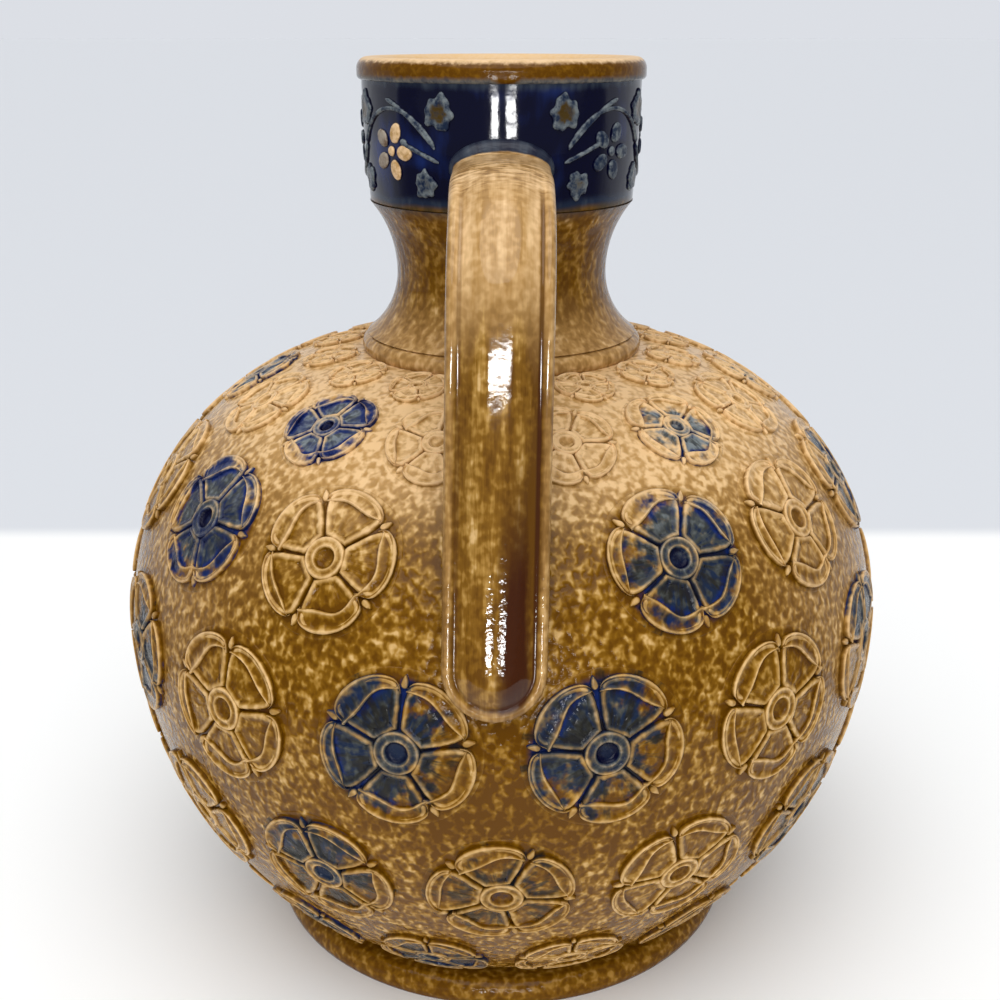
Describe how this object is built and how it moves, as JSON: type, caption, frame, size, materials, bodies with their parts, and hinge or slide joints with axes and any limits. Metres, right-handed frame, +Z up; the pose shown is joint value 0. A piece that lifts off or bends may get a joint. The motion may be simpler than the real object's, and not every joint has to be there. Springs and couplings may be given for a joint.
{
  "type": "bartmann jug",
  "caption": "Globular salt-glazed stoneware jug with applied rosettes, a waisted neck, a blue floral collar band, a bearded mask and a strap handle.",
  "frame": {"origin": "centre of the foot's underside, on the jug's axis", "axes": "+Z up along the jug's axis, -Y towards the handle, +Y towards the mask, +X to the right of someone who faces the handle"},
  "size_m": [0.2098, 0.2117, 0.24],
  "materials": {
    "brown_glaze": "mottled glossy salt glaze",
    "tan_glaze": "glossy salt glaze over tan stoneware",
    "cobalt_glaze": "glossy cobalt under salt glaze",
    "pale_glaze": "pale glaze on raised ornament"
  },
  "bodies": {
    "root": {"body": "brown_glaze", "foot_ring": "brown_glaze", "neck": "brown_glaze", "collar": "cobalt_glaze", "rim": "tan_glaze", "handle": "tan_glaze", "mask": "tan_glaze", "collar_vine": "pale_glaze", "collar_flowers": "pale_glaze", "collar_leaves": "pale_glaze", "rosettes_1_plain": "tan_glaze", "rosettes_2_plain": "tan_glaze", "rosettes_2_cobalt": "cobalt_glaze", "rosettes_3_plain": "tan_glaze", "rosettes_3_cobalt": "cobalt_glaze", "rosettes_4_plain": "tan_glaze", "rosettes_4_cobalt": "cobalt_glaze", "rosettes_5_plain": "tan_glaze", "rosettes_5_cobalt": "cobalt_glaze", "rosettes_6_plain": "tan_glaze", "rosettes_6_cobalt": "cobalt_glaze"}
  },
  "joints": []
}
